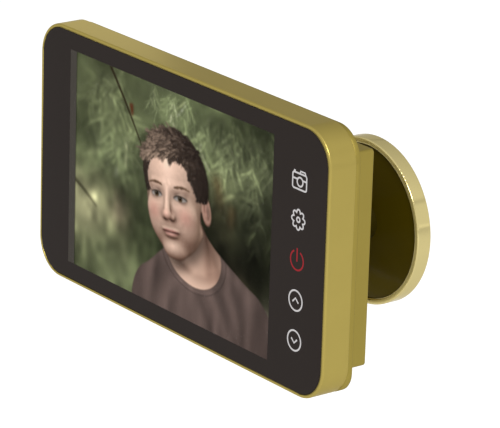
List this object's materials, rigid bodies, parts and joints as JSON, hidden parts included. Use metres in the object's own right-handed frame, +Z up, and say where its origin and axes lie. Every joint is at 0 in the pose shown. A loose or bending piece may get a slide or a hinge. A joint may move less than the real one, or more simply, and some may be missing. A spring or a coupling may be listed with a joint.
{
  "type": "peephole door camera",
  "caption": "Digital door viewer: a flat touch screen monitor hooked on a bracket inside the door, a hollow clamping bolt, and a round camera and bell unit outside.",
  "frame": {"origin": "on the barrel's axis, in the plane of the door's indoor face, where the bracket's foam pad rests", "axes": "+X to the right as seen from indoors, +Y through the door to the outdoors, +Z up"},
  "size_m": [0.1446, 0.0486, 0.0828],
  "materials": {
    "cover_glass": "clear with a black printed border, glossy",
    "black_rubber": "matte",
    "satin_gold": "anodised gold, satin",
    "gold_plastic": "metallic gold paint, semi-gloss",
    "polished_gold": "polished gold plating",
    "display": "liquid crystal panel, lit",
    "white_plastic": "matte white",
    "clear_plastic": "frosted, translucent",
    "flex_film": "amber polyimide film",
    "socket_plastic": "moulded black",
    "circuit_board": "green solder mask",
    "led": "pale yellow",
    "plate_steel": "stamped, dull tin plating",
    "zinc_steel": "bright zinc plating",
    "screw_steel": "nickel plating",
    "chip_black": "moulded epoxy",
    "card_black": "moulded black",
    "knob_black": "moulded black",
    "speaker_black": "black cone and basket",
    "battery_wrap": "blue shrink film",
    "contact_gold": "gold flash",
    "nickel_bolt": "nickel plating",
    "dark_barrel": "black finish, semi-gloss",
    "dark_gloss": "dark brown, high gloss",
    "lens_black": "black, turned edge",
    "lens_glass": "coated optical glass",
    "lamp_clear": "dark infrared-pass resin",
    "switch_grey": "moulded grey",
    "cable_black": "black sheath"
  },
  "bodies": {
    "bracket": {"door_bracket": "zinc_steel", "bracket_pad": "black_rubber", "bolt_washer": "zinc_steel"},
    "bolt": {"hollow_bolt": "nickel_bolt"},
    "outdoor_unit": {"threaded_barrel": "dark_barrel", "outdoor_ring": "polished_gold", "outdoor_back_plate": "dark_gloss", "outdoor_screws": "screw_steel", "outdoor_dome": "polished_gold", "camera_board": "circuit_board", "image_sensor": "chip_black", "lens_barrel": "lens_black", "front_lens": "lens_glass", "rear_lens": "lens_glass", "infrared_lamps": "lamp_clear", "light_ring": "clear_plastic", "bell_switch": "switch_grey", "camera_cable": "cable_black"},
    "bell": {"bell_button": "polished_gold"},
    "monitor": {"front_glass": "cover_glass", "glass_gasket": "black_rubber", "gold_frame": "satin_gold", "lcd_panel": "display", "backlight_unit": "white_plastic", "display_flex": "flex_film", "display_socket": "socket_plastic", "key_light_guide": "clear_plastic", "key_board": "circuit_board", "key_leds": "led", "midframe_plate": "plate_steel", "main_board": "circuit_board", "board_screws": "screw_steel", "board_chips": "chip_black", "shield_can": "plate_steel", "usb_port": "plate_steel", "card_slot": "socket_plastic", "switch_body": "socket_plastic", "microphone": "plate_steel", "speaker": "speaker_black", "camera_socket": "socket_plastic", "battery_pack": "battery_wrap", "battery_contacts": "contact_gold", "rear_cover": "gold_plastic", "rear_screws": "screw_steel", "cable_slack": "cable_black", "camera_plug": "cable_black"},
    "card": {"memory_card": "card_black"},
    "knob": {"power_knob": "knob_black"},
    "battery_cover": {"battery_door": "gold_plastic"}
  },
  "joints": [
    {"name": "monitor_lift", "type": "slide", "parent": "bracket", "child": "monitor", "axis": [0, 0, 1], "range_m": [0, 0.0055], "deforming": ["cable_slack"]},
    {"name": "outdoor_slide", "type": "slide", "parent": "bracket", "child": "outdoor_unit", "axis": [0, 1, 0], "range_m": [0, 0.009], "deforming": ["cable_slack"]},
    {"name": "bolt_turn", "type": "hinge", "parent": "bracket", "child": "bolt", "pos_m": [0, 0, 0], "axis": [0, 1, 0], "range_deg": [-2592, 0]},
    {"name": "bell_press", "type": "slide", "parent": "outdoor_unit", "child": "bell", "axis": [0, -1, 0], "range_m": [0, 0.0007], "stiffness_N_per_m": 1500},
    {"name": "battery_door_slide", "type": "slide", "parent": "monitor", "child": "battery_cover", "axis": [0, 0, -1], "range_m": [0, 0.012]},
    {"name": "card_slide", "type": "slide", "parent": "monitor", "child": "card", "axis": [0, 0, -1], "range_m": [0, 0.01]},
    {"name": "power_slide", "type": "slide", "parent": "monitor", "child": "knob", "axis": [1, 0, 0], "range_m": [0, 0.0024]}
  ],
  "couplings": [
    {"joint": "bolt_turn", "follows": "outdoor_slide", "rad_per_m": -5026.5}
  ]
}
